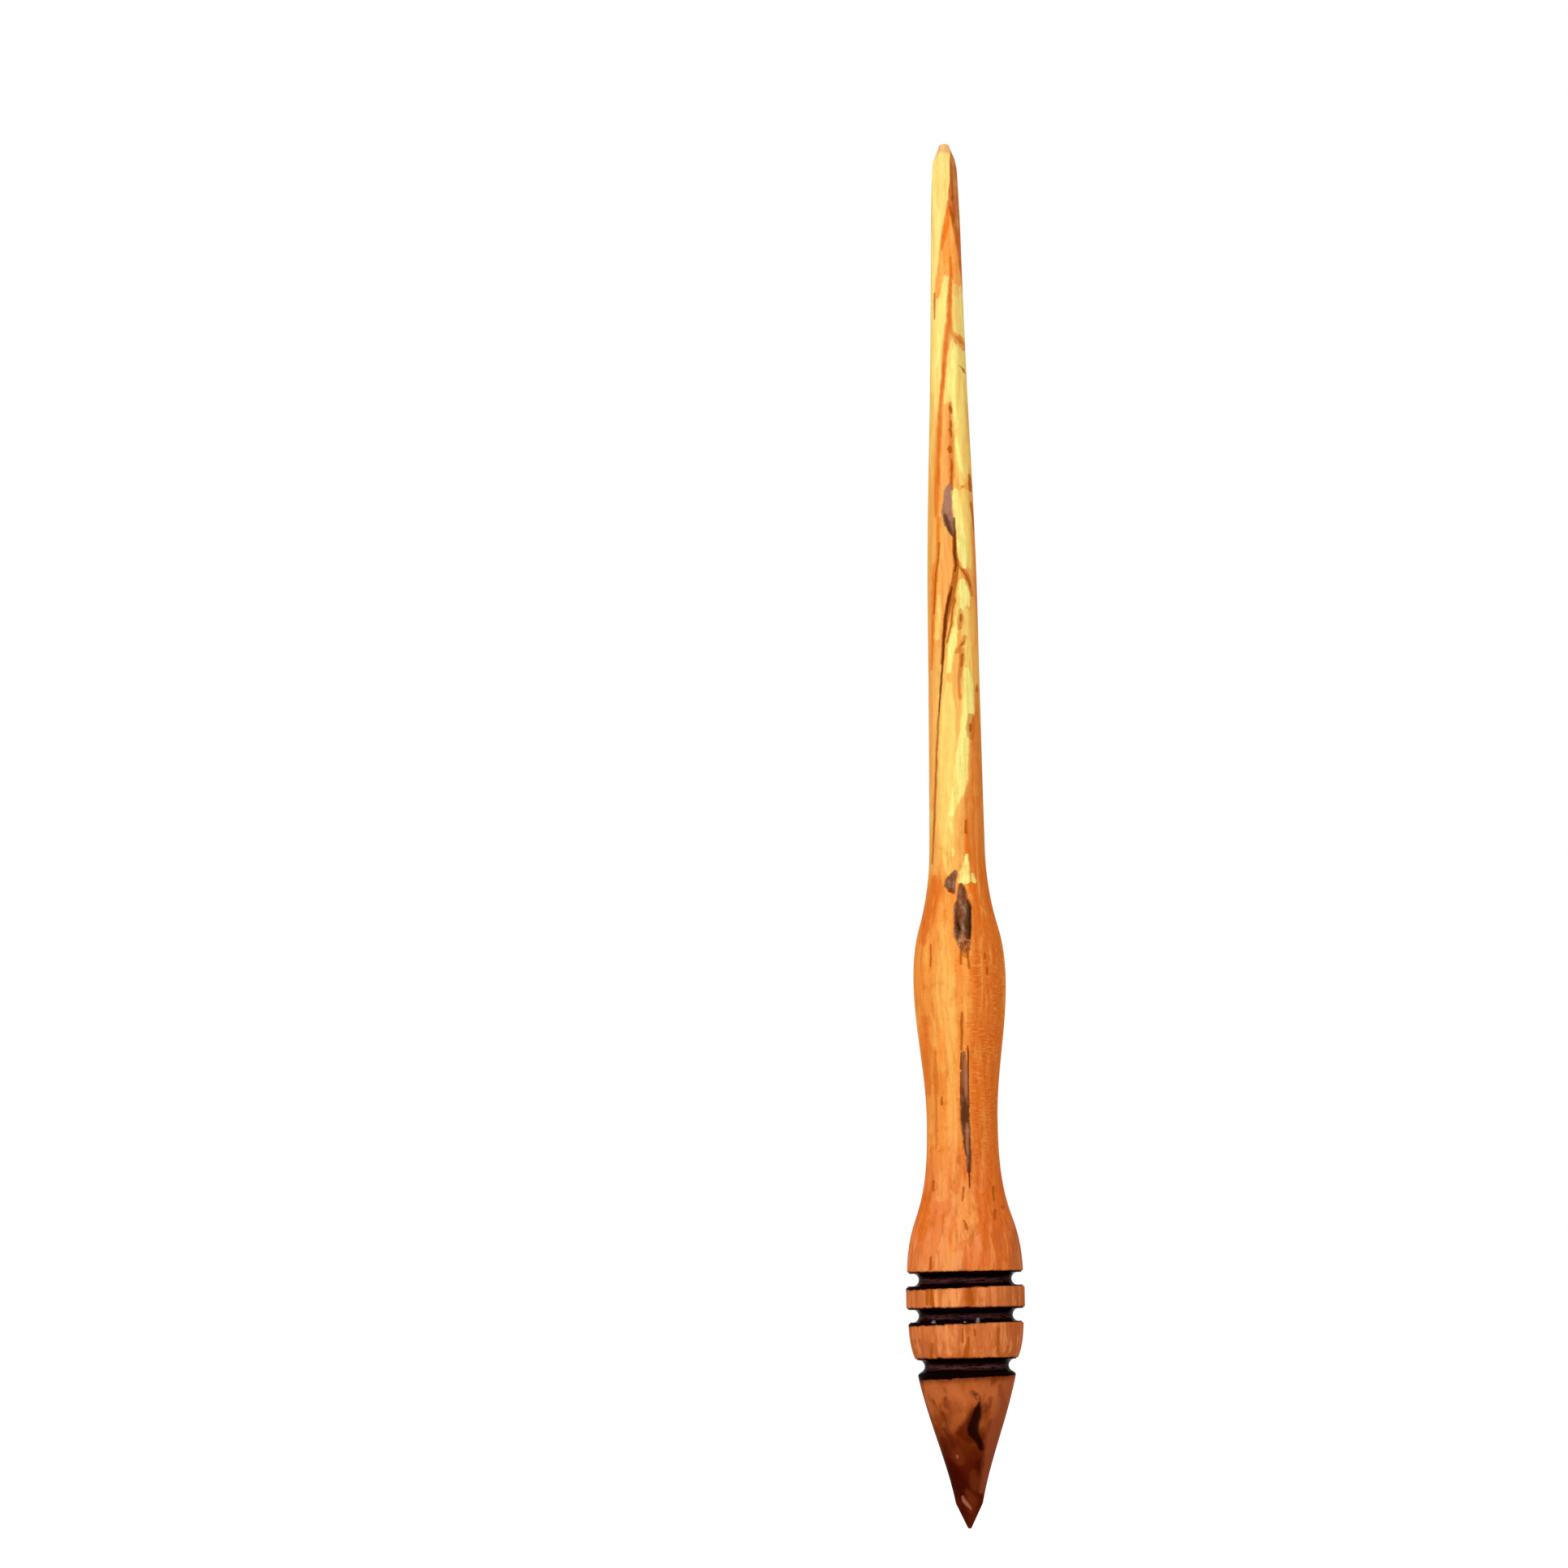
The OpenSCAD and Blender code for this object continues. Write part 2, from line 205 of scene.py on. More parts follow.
        [(1172, 569, 1.6), (1172, 580, 3.5), (1172, 587, 2), (1171.5, 596, 3), (1171, 606, 4)],
        [(1172.8, 243, 3), (1172.8, 248, 3.5)],
        [(1170, 257, 2.5), (1174, 268, 3.5), (1175, 276, 2.5)],
        [(1151.5, 362, 2), (1151, 395, 2)],
        [(1182, 453, 2), (1186, 456, 3), (1189, 462, 2.5)],
        [(1194, 588, 3), (1195, 600, 5), (1195, 608, 3)],
        [(1196, 621, 2), (1200, 657, 2)],
        [(1184, 703, 3), (1190, 711, 3), (1195, 726, 3)],
        [(1175, 655, 4), (1175.5, 680, 6), (1178, 700, 7), (1175, 720, 8), (1170.5, 741, 9),
         (1165.5, 762, 7), (1162, 790, 5), (1160, 820, 4)],
        [(1157, 671, 2), (1155.5, 690, 2.5), (1152.5, 712, 2.5), (1150.5, 760, 2)],
        [(1175, 740, 4), (1172, 763, 3), (1171, 777, 3), (1166, 796, 2.5)],
        [(1183, 761, 3), (1183, 769, 4)],
        [(1187, 793, 2.5), (1184, 799, 3)],
        [(1185, 811, 3), (1184, 824, 3)],
        [(1195, 897, 4), (1195, 904, 3)],
        [(1156.4, 880, 2.4), (1153.4, 930, 2.8), (1151, 1009, 2.6), (1149.5, 1040, 2.2), (1148, 1067, 2)],
        [(1203, 846, 2), (1203, 856, 3)],
        [(1189, 1014, 3), (1189, 1030, 3.5)],
        [(1183.5, 1172, 4), (1182.5, 1180, 4), (1182.5, 1191, 2.5)],
        [(1190, 1174, 4), (1191, 1184, 3), (1193, 1196, 3)],
        [(1145.7, 1168, 2), (1145.7, 1195, 2)],
        [(1214.6, 1195, 3), (1214.6, 1203, 3)],
        [(1212, 1178, 2.5), (1212, 1185, 2.5)],
        [(1159, 1352, 2), (1159, 1365, 2.5)],
        [(1184, 1250, 2), (1183.5, 1260, 4), (1183.5, 1278, 3), (1183, 1297, 3)],
        [(1149, 1457, 3), (1149, 1469, 2.5)],
        [(1186, 1464, 2.5), (1184, 1482, 2.5)],
        [(1222, 1464, 3), (1223, 1482, 2.5)],
        [(1232, 1486, 3), (1234, 1490, 4)],
        [(1224, 1493, 4), (1224, 1505, 3)],
        [(1186, 1505, 3), (1190, 1516, 4)],
        [(1145, 1550, 3), (1145, 1566, 4)],
        [(1141, 1586, 5), (1141, 1610, 4)],
        [(1146, 1584, 2), (1146.5, 1596, 5), (1147, 1610, 6)],
        [(1192, 1586, 6), (1194, 1610, 8)],
        [(1147, 1655, 2), (1146, 1674, 4)],
        [(1184, 1637, 3), (1184, 1655, 3)],
        [(1191, 1648, 3), (1190, 1660, 6), (1188, 1672, 7)],
        [(1199, 1640, 3), (1199.5, 1647, 3)],
        [(1228, 1636, 3), (1228, 1672, 4)],
    ]},
    # painted light along both sides of the cone: a paler sheen low down and a darker shade at its top right
    "coneRimLight": {"cover": 0.65, "soft": 0.7, "ragged": 0.9, "strokes": [
        [(1243, 1698, 10), (1238, 1715, 18), (1231, 1740, 22), (1224, 1775, 22), (1219, 1800, 17),
         (1214, 1820, 13), (1209, 1838, 7)],
        [(1131, 1706, 8), (1136, 1725, 8), (1142, 1745, 6), (1146, 1760, 3)],
    ]},
    "ember": {"cover": 0.5, "soft": 0.7, "ragged": 1, "strokes": [
        [(1178, 1784, 8), (1179, 1794, 16), (1182, 1803, 8)],
        [(1198, 1812, 6), (1200, 1823, 13), (1200, 1834, 9)],
        [(1190, 1836, 6), (1197, 1848, 13), (1196, 1862, 8)],
    ]},
    "umber": {"cover": 0.85, "soft": 0.7, "ragged": 0.8, "strokes": [
        [(1201, 1735, 10), (1196, 1748, 16), (1191, 1758, 22), (1189, 1766, 26), (1196, 1775, 18)],
        [(1162, 1760, 6), (1170, 1775, 10), (1176, 1788, 8)],
        [(1211, 1784, 2), (1211, 1806, 2.5)],
        [(1204, 1803, 5), (1206, 1809, 9), (1205, 1813, 5)],
        [(1184, 1798, 10), (1187, 1806, 18), (1184, 1814, 12)],
        [(1196, 1714, 3), (1199, 1717, 8), (1203, 1723, 5)],
        [(1163, 1722, 3), (1162.5, 1732, 3)],
        [(1160.7, 1741, 2.5), (1163, 1750, 3), (1165, 1758, 3), (1166, 1764, 3.5), (1171, 1769, 2.5)],
        [(1230, 1707, 2), (1230.5, 1720, 2.5)],
        [(1219, 1722, 2), (1218, 1734, 2.5)],
        [(1220, 1750, 4), (1218, 1758, 5)],
    ]},
    "soot": {"cover": 0.8, "soft": 1.3, "ragged": 0.8, "strokes": [
        [(1166, 1796, 6), (1174, 1812, 20), (1182, 1830, 28), (1184, 1846, 10)],
        [(1204, 1800, 6), (1205, 1809, 9), (1203, 1815, 5)],
        [(1184, 1856, 5), (1189, 1868, 6), (1192, 1878, 4)],
        [(1159, 1772, 3), (1164, 1792, 5)],
    ]},
    # painted highlights: glints on the point, the cone, the lower ring and in the slot
    "paintedGlint": {"cover": 0.62, "soft": 0.25, "ragged": 0.4, "strokes": [
        [(1184.5, 1843, 2), (1187, 1849, 5), (1192, 1855, 5), (1195, 1859, 2)],
        [(1177.5, 1793, 1.8), (1178.5, 1796, 1.8)],
        [(1202, 1720, 2), (1203.5, 1723, 2)],
        [(1193, 1645, 3), (1194, 1650, 3)],
        [(1187.5, 1306, 2), (1188, 1322, 4), (1188.5, 1340, 3.5), (1189, 1352, 2)],
        [(1190, 1386, 2), (1190.5, 1396, 3.5), (1190.5, 1410, 2.6), (1191, 1424, 1.6)],
    ]},
    # painted glints on the beads of the middle cove's coat, on the front only
    "beadGlint": {"cover": 0.8, "soft": 0.12, "strokes": [
        [(1149, 1628.5, 4), (1148.5, 1632, 6)],
        [(1203, 1625, 3), (1202.5, 1629.5, 5)],
        [(1186.5, 1629, 2), (1187, 1631.5, 4)],
    ]},
    "line": {"cover": 0.95, "soft": 0.12, "ragged": 0.4, "strokes": [
        [(1175, 643, 2.5), (1175.5, 668, 3), (1176, 687, 3.5), (1177.5, 700, 2.5), (1176, 708, 1.6)],
        [(1172.5, 728, 1.8), (1169.5, 739, 4), (1165, 760, 4), (1162, 790, 3), (1161, 820, 2.6),
         (1156.4, 880, 2.2)],
        [(1183, 1300, 1.6), (1182.5, 1320, 2.5)],
        [(1190.5, 1290, 1.6), (1191.5, 1300, 2.2), (1191.5, 1330, 2), (1192.5, 1366, 2)],
        [(1182.5, 1325, 1.6), (1182.5, 1346, 2.2), (1182.5, 1364, 2)],
        [(1192.5, 1442, 3), (1193.5, 1465, 1.5)],
    ]},
    "ash": {"cover": 0.95, "soft": 0.22, "strokes": [
        [(1170, 600, 4), (1167, 608, 9), (1167, 620, 11), (1166, 632, 13), (1168, 645, 13), (1171, 656, 9),
         (1173, 664, 4)],
        [(1176, 1078, 6), (1171, 1086, 14), (1169, 1096, 14), (1172, 1104, 7)],
        [(1183, 1092, 4), (1184, 1100, 11), (1184.5, 1111, 13), (1184.5, 1116, 19), (1184.7, 1121, 21),
         (1184.5, 1150, 21.5), (1184.5, 1160, 21), (1186.5, 1166, 17), (1188, 1174, 13), (1188, 1177, 9)],
        [(1186, 1298, 4), (1186.5, 1315, 7), (1187, 1335, 8.5), (1187.5, 1360, 10), (1187.5, 1382, 11.5),
         (1189, 1395, 9.5), (1190.5, 1410, 8), (1191.5, 1430, 6.5), (1192, 1447, 3)],
    ]},
    "crevice": {"cover": 0.75, "soft": 0.35, "ragged": 0.9, "strokes": [
        [(1192, 1114, 4), (1192.5, 1130, 6), (1191, 1146, 9), (1190, 1160, 6)],
        [(1177, 1124, 3), (1178, 1136, 5), (1180, 1150, 6), (1178, 1160, 3)],
        [(1164, 638, 3), (1167, 648, 7), (1170, 656, 6), (1172, 662, 2)],
        [(1185, 1344, 2), (1186.5, 1358, 5), (1188, 1366, 10), (1188, 1375, 12), (1187.5, 1383, 11),
         (1186.5, 1392, 4)],
        [(1191.5, 1384, 2), (1192.5, 1400, 2.5), (1193.5, 1420, 4), (1193, 1447, 5)],
        [(1184.5, 1390, 3), (1186.5, 1405, 4), (1189, 1425, 3)],
    ]},
    "char": {"cover": 0.9, "soft": 0.35, "ragged": 0.7, "strokes": [
        [(1194, 1118, 2), (1194, 1130, 3), (1194, 1150, 3), (1193, 1160, 2)],
        [(1179, 1140, 2), (1181, 1150, 3)],
        [(1204.5, 1728, 3), (1203, 1735, 8), (1201.5, 1743, 11), (1199, 1752, 13), (1196.5, 1760, 14.5),
         (1198, 1767, 14), (1202.5, 1773, 10), (1206, 1779, 9), (1207.5, 1786, 5)],
    ]},
}

# the turned profile from the point up: each station is a height, a radius and a slope in degrees,
# above 0 where the wood widens
wood = {
    "noseR": 0.45,
    "noseSteps": 8,
    "pointAngle": 25.5,  # of the sharpened foot
    "footSteps": 14,
    "cone": [(4.65, 2.5, 10.5), (28.4, 9, 10.5)],
    "lowerRing": [(31.1, 9.4, 22.8), (37.6, 10.55, 2.3)],
    "upperRing": [(40.3, 10.85, 0), (44.2, 10.85, 0)],
    "shaft": [
        (46.9, 10.6, -1.2), (56.7, 8.85, -20), (74.9, 6.5, 0), (99.9, 8.45, 0), (110, 7.2, -16.4),
        (124.5, 5.08, -0.86), (170, 4.55, -0.5), (200, 3.72, -2.06), (249.1, 2.45, -1.35),
    ],
    "tip": [(249.1, 2.45, -1.35), (253.7, 0.9, -15)],
    "cap": 0.3,  # the rise of the rounded end
    "capSteps": 5,
    "lipR": 0.4,  # of the cone's top edge
    "arrisR": 0.3,  # of the edges of the rings and the flare
    "arrisClear": 1.6,  # radii without a row of points beside such an edge
    "rowGap": 0.3,
    "rowClear": 0.05,
    "frontStart": 200,  # degrees round the axis from X
    "frontSweep": 140,  # the part that carries the finest figure
    "frontSteps": 60,
    "backSteps": 44,
    "flatTurn": -24,  # of the four flats of the tip about the axis
    "flatReach": 1.74,
    "flatLean": 4,
    "endReach": 0.636,
    "endLeans": [32, 16, 21, 24],  # of the cuts at the very end
    "wobble": 0.03,  # of the turned surface
    "ripple": 0.006,  # of the turning marks
    "rippleTurn": 9,  # radians of them in a millimetre
    "ragged": 0.15,  # the edge of a sunken patch
    "sink": 0.05,  # of the ash patches below the surface
    "reliefR": 1,  # the point within this radius has no relief
    "reliefTop": 235,  # nor has the shaft's end from here up
}

# each cove is a half round, whose lower end may start some degrees in; its black creeps past its low edge
coves = {
    "width": 2.7,
    "coat": 0.2,
    "thinEdge": 0.05,  # of the coat where the cove starts further in
    "clear": 0.01,  # between the coat's ends and the ends of the cove
    "bite": 0.02,  # of the coat into the wood, so that no gap shows
    "steps": 160,
    "lumps": [(0.035, 0.9), (0.02, 2.7)],  # how high and how often, as a brush leaves them
    "trueEdge": 1.2,  # thicknesses at each edge without lumps
    "tilt": 0.035,  # the rise of the black's low edge to the right
    "lower": {
        "node": "lower_cove_lining", "core": 7.5, "start": 20, "lowR": 8.7, "highR": 9.1, "creep": 0.75,
    },
    "middle": {
        "node": "middle_cove_lining", "core": 8.4, "start": 0, "lowR": 10.25, "highR": 10.55, "creep": 0.05,
    },
    "upper": {
        "node": "upper_cove_lining", "core": 8.3, "start": 0, "lowR": 10.55, "highR": 10.3, "creep": 0.05,
    },
}
coveKeys = ("lower", "middle", "upper")
for key in coveKeys:
    coves[key]["top"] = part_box(coves[key]["node"])[1].z * metre
    coves[key]["low"] = coves[key]["top"] - coves["width"]


# the radius between two stations, which meets both slopes
def curveRadius(a, b, z):
    span = b[0] - a[0]
    t = (z - a[0]) / span
    return (
        a[1] * (2 * t**3 - 3 * t**2 + 1)
        + math.tan(math.radians(a[2])) * span * (t**3 - 2 * t**2 + t)
        + b[1] * (3 * t**2 - 2 * t**3)
        + math.tan(math.radians(b[2])) * span * (t**3 - t**2)
    )


# points up one side, close enough for the finest relief
def sideOf(stations, gap):
    points = []
    for a, b in zip(stations, stations[1:]):
        count = max(2, round((b[0] - a[0]) / gap))
        for i in range(count):
            z = a[0] + (b[0] - a[0]) * i / count
            points.append(Vector((curveRadius(a, b, z), z)))
    points.append(Vector((stations[-1][1], stations[-1][0])))
    return points


# the corner b, rounded between its neighbours
def eased(a, b, c, r, steps=4):
    u, v = (a - b).normalized(), (c - b).normalized()
    half = u.angle(v) / 2
    centre = b + (u + v).normalized() * r / math.sin(half)
    start, end = b + u * r / math.tan(half) - centre, b + v * r / math.tan(half) - centre
    turn = math.pi - 2 * half
    arc = []
    for i in range(steps + 1):
        t = i / steps
        arc.append(centre + (start * math.sin((1 - t) * turn) + end * math.sin(t * turn)) / math.sin(turn))
    return arc


# the round of a cove, or of its coat where there is an inset
def coveArc(cove, inset=0, steps=12):
    half = coves["width"] / 2
    first = math.radians(270 - cove["start"])
    return [
        Vector((
            cove["core"] + half + (half - inset) * math.cos(first - (first - math.pi / 2) * i / steps),
            cove["low"] + half + (half - inset) * math.sin(first - (first - math.pi / 2) * i / steps),
        ))
        for i in range(steps + 1)
    ]


# a ring's side, with both of its edges rounded
def easedBand(points):
    inward = Vector((-1, 0))
    r = wood["arrisR"]
    clear = r * wood["arrisClear"]
    return (
        eased(points[0] + inward, points[0], points[3], r)
        + [p for p in points if points[0].y + clear < p.y < points[-1].y - clear]
        + eased(points[-4], points[-1], points[-1] + inward, r)
    )


def woodProfile():
    slope = math.radians(wood["pointAngle"])
    steps = wood["noseSteps"]
    nose = [
        Vector((wood["noseR"] * math.cos(a), wood["noseR"] * (1 + math.sin(a))))
        for a in [-math.pi / 2 + (math.pi / 2 - slope) * i / steps for i in range(steps + 1)]
    ]
    base = Vector((wood["cone"][0][1], wood["cone"][0][0]))
    foot = [nose[-1].lerp(base, i / wood["footSteps"]) for i in range(1, wood["footSteps"])]
    cone = sideOf(wood["cone"], wood["rowGap"])
    lowerArc = coveArc(coves["lower"])
    lip = eased(cone[-3], cone[-1], lowerArc[0], wood["lipR"])
    cone = [p for p in cone if p.y < lip[0].y - wood["rowClear"]]
    rings = [easedBand(sideOf(wood[name], wood["rowGap"])) for name in ("lowerRing", "upperRing")]
    shaft = sideOf(wood["shaft"], wood["rowGap"])
    flareEdge = eased(shaft[0] + Vector((-1, 0)), shaft[0], shaft[3], wood["arrisR"])
    shaft = [p for p in shaft if p.y > flareEdge[-1].y + wood["rowClear"]]
    tip = sideOf(wood["tip"], wood["rowGap"])[1:]
    ball = (tip[-1].x ** 2 + wood["cap"] ** 2) / (2 * wood["cap"])
    turn = math.asin(tip[-1].x / ball)
    top = tip[-1].y + wood["cap"]
    turns = [turn * i / wood["capSteps"] for i in range(wood["capSteps"] - 1, -1, -1)]
    cap = [Vector((ball * math.sin(a), top - ball + ball * math.cos(a))) for a in turns]
    rounds = cone + lip + lowerArc + rings[0] + coveArc(coves["middle"]) + rings[1] + coveArc(coves["upper"])
    return nose + foot + rounds + flareEdge + shaft + tip + cap


# a stroke's points as height, place across and half width
def spotsOf(points):
    return sorted(place(px, py)[::-1] + (width / 2 / photo["perMm"],) for px, py, width in points)


# the half width of a stroke at height z minus the distance from its middle, so above 0 inside
def insideStroke(spots, x, z):
    if not spots[0][0] <= z <= spots[-1][0]:
        return -1
    for a, b in zip(spots, spots[1:]):
        if a[0] <= z <= b[0]:
            t = (z - a[0]) / max(b[0] - a[0], 1e-6)
            return a[2] + (b[2] - a[2]) * t - abs(x - a[1] - (b[1] - a[1]) * t)
    return -1


def smoothStep(value, low, high):
    t = min(max((value - low) / (high - low), 0), 1)
    return t * t * (3 - 2 * t)


sunken = [spotsOf(points) for points in figure["ash"]["strokes"]]


# how far the surface stands out from the true profile
def relief(x, y, z):
    if any(coves[key]["low"] < z < coves[key]["top"] for key in coveKeys):
        return 0
    height = wood["wobble"] * noise.noise(Vector((x * 0.09, y * 0.09, z * 0.05)))
    waver = 2 * noise.noise(Vector((x * 0.3, y * 0.3, z * 0.3)))
    height += wood["ripple"] * math.sin(z * wood["rippleTurn"] + waver)
    if y < 0:
        ragged = wood["ragged"] * noise.noise(Vector((x * 1.5, 3, z * 0.9)))
        for spots in sunken:
            inside = insideStroke(spots, x, z) + ragged
            height -= wood["sink"] * smoothStep(inside, -0.1, 0.35)
    return height


# edges that turn by more than the angle stay sharp
def finishMesh(bm, name, angle=35):
    bm.transform(Matrix.Scale(1 / metre, 4))
    mesh = bpy.data.meshes.new(name)
    bm.to_mesh(mesh)
    bm.free()
    mesh.set_sharp_from_angle(angle=math.radians(angle))
    piece = bpy.data.objects.new(name, mesh)
    bpy.context.scene.collection.objects.link(piece)
    return piece


# a knife cut: everything beyond the plane goes, and the cut face is closed
def knifeCut(bm, turn, reach, z, lean):
    tilt = math.radians(lean)
    spin = Matrix.Rotation(math.radians(turn), 3, "Z")
    geom = bm.verts[:] + bm.edges[:] + bm.faces[:]
    bmesh.ops.bisect_plane(
        bm, geom=geom, dist=1e-5, plane_co=spin @ Vector((reach, 0, z)),
        plane_no=spin @ Vector((math.cos(tilt), 0, math.sin(tilt))), clear_outer=True, clear_inner=False,
    )
    rim = [edge for edge in bm.edges if edge.is_boundary]
    for face in bmesh.ops.holes_fill(bm, edges=rim, sides=0)["faces"]:
        face.smooth = False


# turned about the axis by so many degrees, and closed where that is a full turn
def turned(bm, geom, degrees, steps):
    return bmesh.ops.spin(
        bm, geom=geom, cent=(0, 0, 0), axis=(0, 0, 1), angle=math.radians(degrees), steps=steps,
        use_merge=degrees == 360, use_duplicate=False,
    )


def turnedSpindle():
    bm = bmesh.new()
    first = math.radians(wood["frontStart"])
    points = [bm.verts.new((p.x * math.cos(first), p.x * math.sin(first), p.y)) for p in woodProfile()]
    edges = [bm.edges.new(pair) for pair in zip(points, points[1:])]
    front = turned(bm, points + edges, wood["frontSweep"], wood["frontSteps"])
    turned(bm, front["geom_last"], 360 - wood["frontSweep"], wood["backSteps"])
    bmesh.ops.remove_doubles(bm, verts=bm.verts, dist=0.002)
    bmesh.ops.recalc_face_normals(bm, faces=bm.faces)
    for vert in bm.verts:
        out = Vector((vert.co.x, vert.co.y, 0))
        if out.length > wood["reliefR"] and vert.co.z < wood["reliefTop"]:
            vert.co += out.normalized() * relief(*vert.co)
    for face in bm.faces:
        face.smooth = True
    for i, endLean in enumerate(wood["endLeans"]):
        turn = wood["flatTurn"] + 90 * i
        knifeCut(bm, turn, wood["flatReach"], wood["tip"][0][0], wood["flatLean"])
        knifeCut(bm, turn, wood["endReach"], cadHigh.z * metre, endLean)
    return finishMesh(bm, "turnedSpindle")


# the dark coat of one cove, with the slight lumps of a brushed finish
def coveCoat(name, cove):
    bm = bmesh.new()
    half, thick = coves["width"] / 2, coves["coat"]
    skin = coveArc(cove, thick, 36)
    low = Vector((cove["lowR"], cove["low"] + (thick if cove["start"] == 0 else coves["thinEdge"])))
    high = Vector((cove["highR"], cove["top"] - thick))
    back = coveArc(cove, -coves["bite"], 16)
    outline = [low] + skin + [high, high + Vector((0, thick - coves["clear"]))] + back[::-1]
    outline.append(Vector((cove["lowR"], cove["low"] + coves["clear"])))
    points = [bm.verts.new((p.x, 0, p.y)) for p in outline]
    edges = [bm.edges.new(pair) for pair in zip(points, points[1:] + points[:1])]
    turned(bm, points + edges, 360, coves["steps"])
    bmesh.ops.recalc_face_normals(bm, faces=bm.faces)
    middle = cove["low"] + half
    for vert in bm.verts:
        out = Vector((vert.co.x, vert.co.y, 0))
        if abs(vert.co.z - middle) < half - thick * coves["trueEdge"]:
            lump = sum(rise * noise.noise(vert.co * often) for rise, often in coves["lumps"])
            vert.co += out.normalized() * lump
    for face in bm.faces:
        face.smooth = True
    return finishMesh(bm, name, angle=50)


spindle = turnedSpindle()
print("spindle turned:", len(spindle.data.polygons), "faces")
coats = [coveCoat(f"{key}CoveCoat", coves[key]) for key in coveKeys]
print("coves coated")


# a colour as it is read off a swatch, 0 to 255
def swatch(*channels):
    return tuple(v / 255 / 12.92 if v < 11 else ((v / 255 + 0.055) / 1.055) ** 2.4 for v in channels) + (1,)


# a socket that Python's operators work on
class Wire:
    def __init__(self, board, socket):
        self.board = board
        self.socket = socket

    def out(self, output):
        return Wire(self.board, self.socket.node.outputs[output])

    def maths(self, operation, *others):
        return self.board.add("ShaderNodeMath", {"operation": operation}, [self, *others])

    def __add__(self, other):
        return self.maths("ADD", other)

    def __sub__(self, other):
        return self.maths("SUBTRACT", other)

    def __mul__(self, other):
        return self.maths("MULTIPLY", other)

    def __rsub__(self, other):
        return self.board.add("ShaderNodeMath", {"operation": "SUBTRACT"}, [other, self])

    def __abs__(self):
        return self.maths("ABSOLUTE")

    __radd__ = __add__
    __rmul__ = __mul__


# the nodes of one material, group or world
class Board:
    def __init__(self, tree):
        self.tree = tree
        tree.nodes.clear()

    # settings first, then the sockets, by place in a list or by name
    def add(self, kind, settings, inputs, output=0):
        node = self.tree.nodes.new(kind)
        for key, value in settings.items():
            if key == "stops":
                ramp = node.color_ramp
                while len(ramp.elements) < len(value):
                    ramp.elements.new(0.5)
                for element, (at, colour) in zip(ramp.elements, value):
                    element.position = at
                    element.color = colour
            else:
                setattr(node, key, value)
        for key, value in inputs.items() if isinstance(inputs, dict) else enumerate(inputs):
            if isinstance(value, Wire):
                self.tree.links.new(value.socket, node.inputs[key])
            else:
                node.inputs[key].default_value = value
        return Wire(self, node.outputs[output]) if len(node.outputs) else None

    # 0 below low and 1 above high, or the other way round
    def smooth(self, value, low, high):
        return self.add("ShaderNodeMapRange", {"interpolation_type": "SMOOTHSTEP"}, [value, low, high, 0, 1])

    def mix(self, mask, first, second, blend="MIX"):
        settings = {"data_type": "RGBA", "blend_type": blend}
        return self.add("ShaderNodeMix", settings, {0: mask, 6: first, 7: second}, 2)

    def grain(self, here, stretch, detail, rough):
        at = self.add("ShaderNodeVectorMath", {"operation": "MULTIPLY"}, [here, stretch])
        sockets = {"Vector": at, "Scale": 1, "Detail": detail, "Roughness": rough}
        return self.add("ShaderNodeTexNoise", {}, sockets)

    # 1 where the camera, a gloss or a glass shows the room itself
    def shown(self):
        path = self.add("ShaderNodeLightPath", {}, [])
        return path + path.out("Is Glossy Ray") + path.out("Is Transmission Ray")

    # the place on the object, in millimetres
    def here(self):
        spot = self.add("ShaderNodeTexCoord", {}, [], 3)
        return self.add("ShaderNodeVectorMath", {"operation": "SCALE"}, {0: spot, 3: metre})


# the tones of both finishes; those of a layer have its name
tone = {
    "soot": swatch(58, 8, 2),
    "umber": swatch(88, 24, 5),
    "bark": swatch(112, 42, 10),
    "chestnut": swatch(148, 68, 22),
    "sienna": swatch(190, 98, 48),
    "copper": swatch(212, 116, 60),
    "clay": swatch(236, 130, 64),
    "amber": swatch(248, 152, 66),
    "honey": swatch(250, 192, 98),
    "sap": swatch(253, 226, 134),
    "tipPink": swatch(240, 168, 118),
    "ochre": swatch(222, 106, 30),
    "tan": swatch(246, 178, 88),
    "salmon": swatch(248, 162, 84),
    "apricot": swatch(252, 150, 56),
    "russet": swatch(208, 94, 44),
    "tangerine": swatch(232, 112, 24),
    "butter": swatch(253, 220, 118),
    "blush": swatch(243, 154, 92),
    "glow": swatch(254, 194, 98),
    "flame": swatch(253, 246, 144),
    "rust": swatch(200, 90, 12),
    "brown": swatch(172, 80, 6),
    "line": swatch(108, 44, 8),
    # painted light along the cone's sides
    "coneRimLight": swatch(166, 82, 48),
    "ember": swatch(124, 52, 20),
    # painted highlight
    "paintedGlint": swatch(190, 122, 88),
    "ash": swatch(124, 90, 70),
    "ashLight": swatch(170, 132, 108),
    "lilac": swatch(166, 118, 98),
    "fissure": swatch(140, 76, 48),
    "crevice": swatch(74, 38, 18),
    "char": swatch(16, 4, 2),
    "coat": swatch(13, 3, 3),
    # the coves' painted sheen
    "coatSheen": swatch(84, 46, 46),
    # painted glint on the beads
    "beadGlint": swatch(150, 138, 142),
    "shade": (0.8, 0.58, 0.36, 1),
}


ramps = {
    "span": 24,  # across the spindle from a colour of 0 to one of 1
    "spare": 0.3,  # past a stroke's end and its soft edge
    "rise": 50,  # the most height that one ramp takes
    "stops": 20,  # with this many, it takes no other stroke
}


